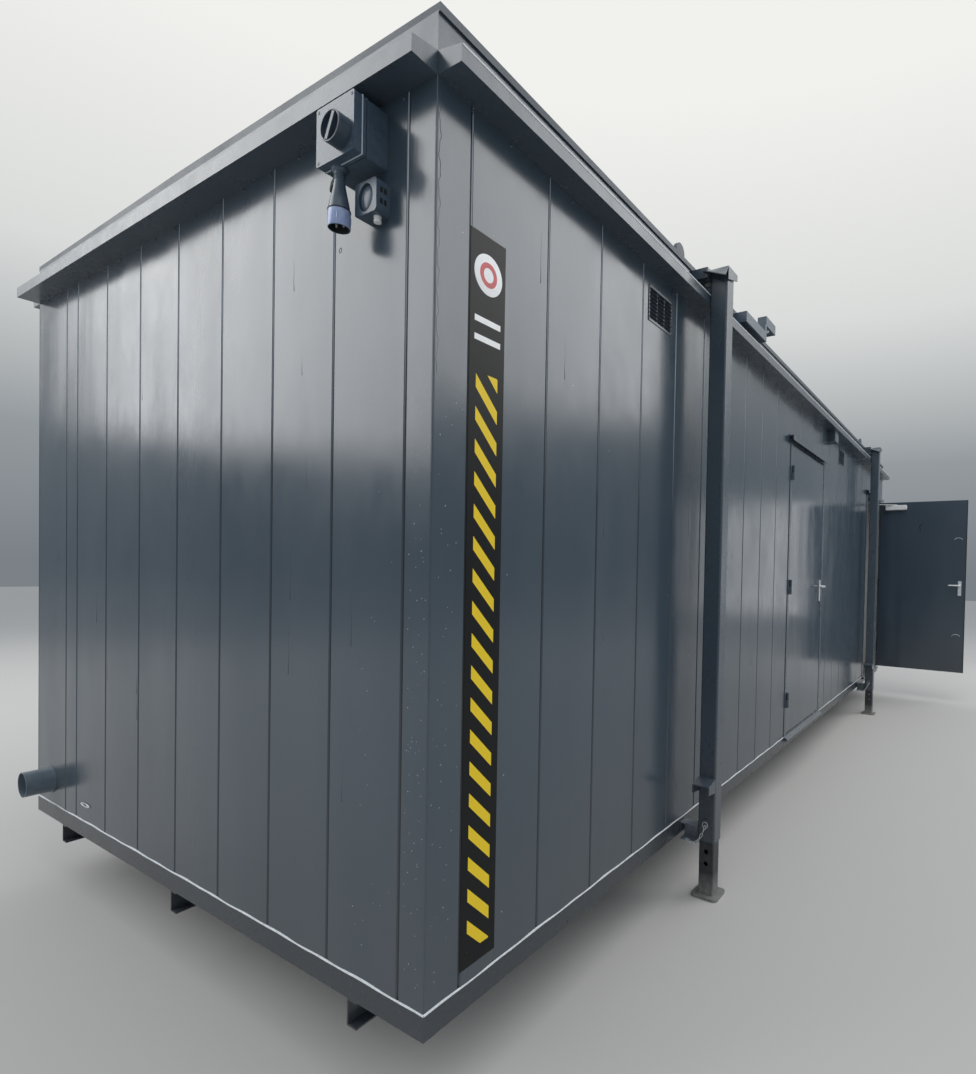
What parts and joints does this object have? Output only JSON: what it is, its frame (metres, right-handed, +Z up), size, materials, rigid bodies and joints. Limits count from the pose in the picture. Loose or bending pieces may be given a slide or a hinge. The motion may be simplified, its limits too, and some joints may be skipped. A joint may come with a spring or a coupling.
{
  "type": "portable site cabin",
  "caption": "Steel portable site cabin on jack legs, with grooved panel walls, two outward doors, an eaves rail, louvre vents and a supply inlet.",
  "frame": {"origin": "middle of the whole footprint, at the ground under the leg feet, with the toilet door a quarter turn open", "axes": "+X along the long side from the end with the supply inlet to the end with the open door, +Y from the door side to the back, +Z up"},
  "size_m": [7.5352, 3.762, 2.886],
  "materials": {
    "body_paint": "gloss anthracite paint",
    "frame_paint": "gloss anthracite paint on the steel frame",
    "door_paint": "gloss anthracite paint on steel doors",
    "roof_paint": "weathered grey roof coating",
    "floor_vinyl": "grey vinyl over boards",
    "galvanised": "weathered galvanised steel",
    "leg_steel": "worn paint over galvanised steel",
    "lever_metal": "satin",
    "closer_white": "white powder coat",
    "enclosure_grey": "overpainted enclosure",
    "knob_plastic": "dark moulded plastic",
    "inlet_blue": "blue moulded plastic",
    "pipe_grey": "grey painted plastic pipe"
  },
  "bodies": {
    "cabin": {"base_side_rails": "frame_paint", "base_end_rails": "frame_paint", "floor_joists": "galvanised", "floor_runners": "frame_paint", "floor_deck": "floor_vinyl", "leg_outriggers": "frame_paint", "corner_posts": "body_paint", "front_wall_left": "body_paint", "front_wall_middle": "body_paint", "front_wall_right": "body_paint", "office_door_header": "body_paint", "toilet_door_header": "body_paint", "back_wall": "body_paint", "right_end_wall": "body_paint", "left_end_wall": "body_paint", "roof_side_beams": "body_paint", "roof_end_beams": "body_paint", "roof_deck": "roof_paint", "eaves_rails": "body_paint", "office_door_frame": "frame_paint", "toilet_door_frame": "frame_paint", "door_hoods": "body_paint", "wall_vents": "body_paint", "isolator_box": "enclosure_grey", "power_inlet": "inlet_blue", "wall_unit": "enclosure_grey", "waste_pipe": "pipe_grey", "roof_lamp": "enclosure_grey", "eaves_box": "enclosure_grey", "front_left_leg_post": "frame_paint", "front_right_leg_post": "frame_paint", "back_left_leg_post": "frame_paint", "back_right_leg_post": "frame_paint"},
    "office_door": {"office_door_leaf": "door_paint"},
    "office_lever": {"office_door_lever": "lever_metal"},
    "toilet_door": {"toilet_door_leaf": "door_paint", "closer_body": "closer_white"},
    "toilet_lever": {"toilet_door_lever": "lever_metal"},
    "closer_arm": {"closer_arm": "closer_white"},
    "closer_link": {"closer_link": "closer_white"},
    "isolator_knob": {"isolator_knob": "knob_plastic"},
    "front_left_leg": {"front_left_inner_leg": "leg_steel"},
    "front_right_leg": {"front_right_inner_leg": "leg_steel"},
    "back_left_leg": {"back_left_inner_leg": "leg_steel"},
    "back_right_leg": {"back_right_inner_leg": "leg_steel"}
  },
  "joints": [
    {"name": "office_door_hinge", "type": "hinge", "parent": "cabin", "child": "office_door", "pos_m": [-0.42785, -0.9535, 1.34], "axis": [0, 0, -1], "range_deg": [0, 105]},
    {"name": "office_lever_turn", "type": "hinge", "parent": "office_door", "child": "office_lever", "pos_m": [0.43965, -0.9215, 1.365], "axis": [0, -1, 0], "range_deg": [0, 45], "stiffness_Nm_per_rad": 2, "springref_deg": -28.65},
    {"name": "toilet_door_hinge", "type": "hinge", "parent": "cabin", "child": "toilet_door", "pos_m": [3.54715, -0.9535, 1.34], "axis": [0, 0, 1], "range_deg": [-90, 15]},
    {"name": "toilet_lever_turn", "type": "hinge", "parent": "toilet_door", "child": "toilet_lever", "pos_m": [3.51515, -1.821, 1.365], "axis": [-1, 0, 0], "range_deg": [0, 45], "stiffness_Nm_per_rad": 2, "springref_deg": -28.65},
    {"name": "closer_arm_turn", "type": "hinge", "parent": "toilet_door", "child": "closer_arm", "pos_m": [3.46915, -1.1335, 2.317], "axis": [0, 0, 1], "range_deg": [-16.18, 94.57]},
    {"name": "closer_link_turn", "type": "hinge", "parent": "closer_arm", "child": "closer_link", "pos_m": [3.37439, -0.92173, 2.324], "axis": [0, 0, 1], "range_deg": [-12.02, 69.62]},
    {"name": "isolator_turn", "type": "hinge", "parent": "cabin", "child": "isolator_knob", "pos_m": [-3.73235, -0.7155, 2.53], "axis": [-1, 0, 0], "range_deg": [0, 90]},
    {"name": "front_left_leg_slide", "type": "slide", "parent": "cabin", "child": "front_left_leg", "axis": [0, 0, -1], "range_m": [-0.2, 0.45]},
    {"name": "front_right_leg_slide", "type": "slide", "parent": "cabin", "child": "front_right_leg", "axis": [0, 0, -1], "range_m": [-0.2, 0.45]},
    {"name": "back_left_leg_slide", "type": "slide", "parent": "cabin", "child": "back_left_leg", "axis": [0, 0, -1], "range_m": [-0.2, 0.45]},
    {"name": "back_right_leg_slide", "type": "slide", "parent": "cabin", "child": "back_right_leg", "axis": [0, 0, -1], "range_m": [-0.2, 0.45]}
  ],
  "couplings": [
    {"joint": "closer_arm_turn", "follows": "toilet_door_hinge", "ratio": -1.0452},
    {"joint": "closer_link_turn", "follows": "toilet_door_hinge", "ratio": -0.768}
  ]
}
